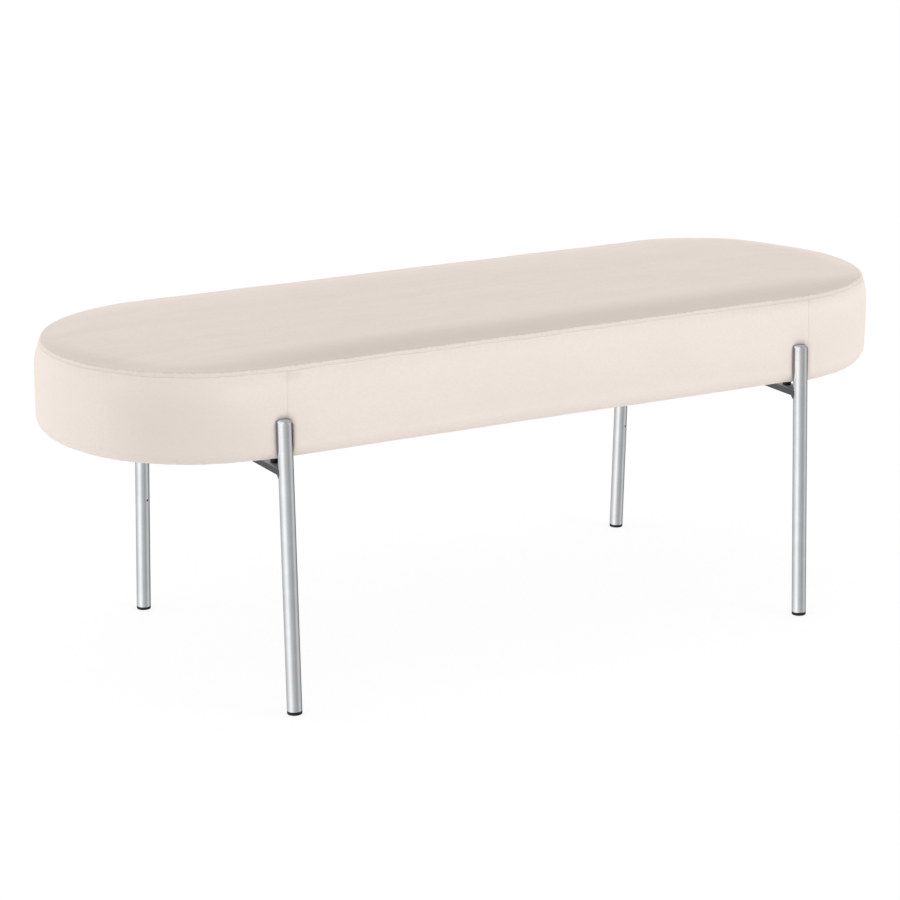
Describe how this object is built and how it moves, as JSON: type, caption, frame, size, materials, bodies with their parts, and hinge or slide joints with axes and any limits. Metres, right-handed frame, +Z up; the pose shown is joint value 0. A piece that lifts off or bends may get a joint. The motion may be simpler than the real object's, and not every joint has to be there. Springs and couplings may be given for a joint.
{
  "type": "upholstered bench",
  "caption": "Long upholstered bench: a thick round-ended velvet seat on slim round metal legs, joined by crossbars under the seat.",
  "frame": {"origin": "on the floor under the middle of the seat", "axes": "+X along the seat to the right, -Y to the front, +Z up"},
  "size_m": [1.25, 0.5018, 0.461],
  "materials": {
    "velvet": "matte",
    "fibre": "matte",
    "foam": "matte",
    "plywood": "matte",
    "lining_cloth": "matte",
    "chrome": "polished",
    "black_plastic": "satin",
    "zinc_steel": "satin"
  },
  "bodies": {
    "root": {"seat_top_panel": "velvet", "seat_band_front": "velvet", "seat_band_right_end": "velvet", "seat_band_back": "velvet", "seat_band_left_end": "velvet", "fibre_wadding": "fibre", "foam_core": "foam", "seat_board": "plywood", "dust_cover": "lining_cloth", "crossbar_left": "chrome", "crossbar_right": "chrome", "leg_front_left": "chrome", "leg_front_right": "chrome", "leg_back_left": "chrome", "leg_back_right": "chrome", "leg_cap_front_left": "chrome", "leg_cap_front_right": "chrome", "leg_cap_back_left": "chrome", "leg_cap_back_right": "chrome", "foot_glide_front_left": "black_plastic", "foot_glide_front_right": "black_plastic", "foot_glide_back_left": "black_plastic", "foot_glide_back_right": "black_plastic", "weld_bead_front_left": "chrome", "weld_bead_front_right": "chrome", "weld_bead_back_left": "chrome", "weld_bead_back_right": "chrome", "seat_spacer_front_left": "black_plastic", "seat_spacer_front_right": "black_plastic", "seat_spacer_back_left": "black_plastic", "seat_spacer_back_right": "black_plastic", "seat_bolt_front_left": "zinc_steel", "seat_bolt_front_right": "zinc_steel", "seat_bolt_back_left": "zinc_steel", "seat_bolt_back_right": "zinc_steel", "bolt_washer_front_left": "zinc_steel", "bolt_washer_front_right": "zinc_steel", "bolt_washer_back_left": "zinc_steel", "bolt_washer_back_right": "zinc_steel", "tee_nut_front_left": "zinc_steel", "tee_nut_front_right": "zinc_steel", "tee_nut_back_left": "zinc_steel", "tee_nut_back_right": "zinc_steel"}
  },
  "joints": []
}
